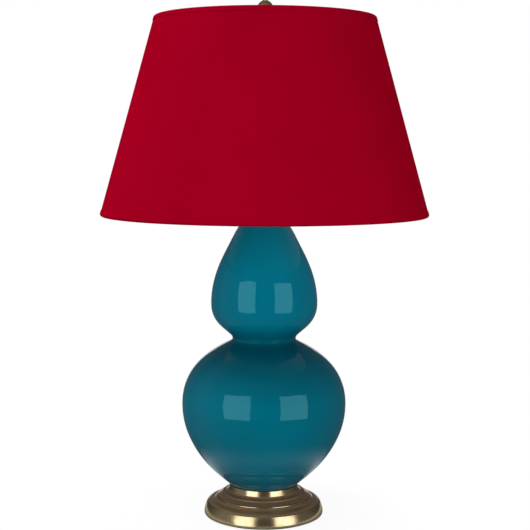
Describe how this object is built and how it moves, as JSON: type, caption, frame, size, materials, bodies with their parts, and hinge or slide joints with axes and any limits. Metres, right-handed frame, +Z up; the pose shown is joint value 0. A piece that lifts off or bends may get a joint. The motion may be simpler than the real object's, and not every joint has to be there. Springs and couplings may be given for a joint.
{
  "type": "table lamp",
  "caption": "Table lamp with a glazed double gourd body on a stepped brass base, a tapered fabric shade on a harp, a keyed lampholder with its bulb, and a ball finial.",
  "frame": {"origin": "on the table, under the lamp's axis, at the underside of the felt", "axes": "+Z up the lamp's axis, -Y the front, where the switch knob points, +Y the back, where the cord leaves, +X to the right seen from the front"},
  "size_m": [0.4843, 0.4844, 0.7675],
  "materials": {
    "felt": "pressed wool felt",
    "antique_brass": "aged, polished on the high spots",
    "bright_brass": "plain pressed brass",
    "cast_iron": "as cast",
    "steel": "zinc plated",
    "nickel": "nickel plated",
    "rubber": "moulded, matt",
    "cork_gasket": "rubber-bonded cork",
    "teal_glaze": "glossy fired glaze",
    "card": "vulcanised fibre",
    "black_moulding": "phenolic moulding",
    "black_gloss": "polished moulding",
    "aluminium": "drawn sheet",
    "black_glass": "dark insulating glass",
    "solder": "solder",
    "frosted_glass": "frosted inside",
    "clear_glass": "clear",
    "tungsten": "drawn wire",
    "red_fabric": "smooth woven cloth with a slight sheen",
    "white_styrene": "matt sheet",
    "antique_brass_wire": "brass plated steel wire"
  },
  "bodies": {
    "lamp_body": {"base_felt_pad": "felt", "base_plinth": "antique_brass", "base_ballast": "cast_iron", "base_washer": "steel", "lock_washer": "steel", "hex_nut": "steel", "cord_bushing": "rubber", "seat_cup": "antique_brass", "foot_gasket": "cork_gasket", "gourd_body": "teal_glaze", "rim_gasket": "cork_gasket", "threaded_rod": "steel", "vase_cap": "antique_brass", "neck_spacer": "antique_brass", "harp_saddle": "antique_brass", "harp_wire": "antique_brass", "harp_stud": "antique_brass", "holder_cap": "bright_brass", "holder_set_screw": "steel", "holder_shell": "bright_brass", "holder_insulator": "card", "holder_core": "black_moulding", "terminal_screw_left": "bright_brass", "terminal_screw_right": "nickel", "holder_screw_shell": "bright_brass", "centre_contact": "bright_brass"},
    "switch": {"switch_rotor": "bright_brass", "switch_shaft": "bright_brass", "switch_knob": "black_gloss"},
    "sleeve_left": {"harp_sleeve_left": "antique_brass"},
    "sleeve_right": {"harp_sleeve_right": "antique_brass"},
    "bulb_seat": {"bulb_contact": "solder"},
    "bulb": {"bulb_cap": "aluminium", "bulb_insulator": "black_glass", "bulb_glass": "frosted_glass", "bulb_stem": "clear_glass", "bulb_filament": "tungsten"},
    "shade": {"shade_fabric": "red_fabric", "shade_liner": "white_styrene", "shade_spider": "antique_brass_wire", "shade_bottom_ring": "steel", "shade_top_hem": "red_fabric", "shade_bottom_hem": "red_fabric"},
    "finial_seat": {"finial_collar": "antique_brass"},
    "finial": {"finial_knob": "antique_brass"}
  },
  "joints": [
    {"name": "switch_turn", "type": "hinge", "parent": "lamp_body", "child": "switch", "pos_m": [0, -0.0305, 0.5275], "axis": [0, -1, 0], "continuous": true},
    {"name": "sleeve_left_slide", "type": "slide", "parent": "lamp_body", "child": "sleeve_left", "axis": [0, 0, 1], "range_m": [0, 0.013]},
    {"name": "sleeve_right_slide", "type": "slide", "parent": "lamp_body", "child": "sleeve_right", "axis": [0, 0, 1], "range_m": [0, 0.013]},
    {"name": "bulb_advance", "type": "slide", "parent": "lamp_body", "child": "bulb_seat", "axis": [0, 0, 1], "range_m": [0, 0.0145]},
    {"name": "bulb_turn", "type": "hinge", "parent": "bulb_seat", "child": "bulb", "pos_m": [0, 0, 0.55], "axis": [0, 0, 1], "range_deg": [0, 1440]},
    {"name": "shade_turn", "type": "hinge", "parent": "lamp_body", "child": "shade", "pos_m": [0, 0, 0.727], "axis": [0, 0, 1], "continuous": true},
    {"name": "finial_advance", "type": "slide", "parent": "lamp_body", "child": "finial_seat", "axis": [0, 0, 1], "range_m": [0, 0.01]},
    {"name": "finial_turn", "type": "hinge", "parent": "finial_seat", "child": "finial", "pos_m": [0, 0, 0.745], "axis": [0, 0, 1], "range_deg": [0, 3840]}
  ],
  "couplings": [
    {"joint": "bulb_turn", "follows": "bulb_advance", "rad_per_m": 1731.4},
    {"joint": "finial_turn", "follows": "finial_advance", "rad_per_m": 6684.2}
  ]
}
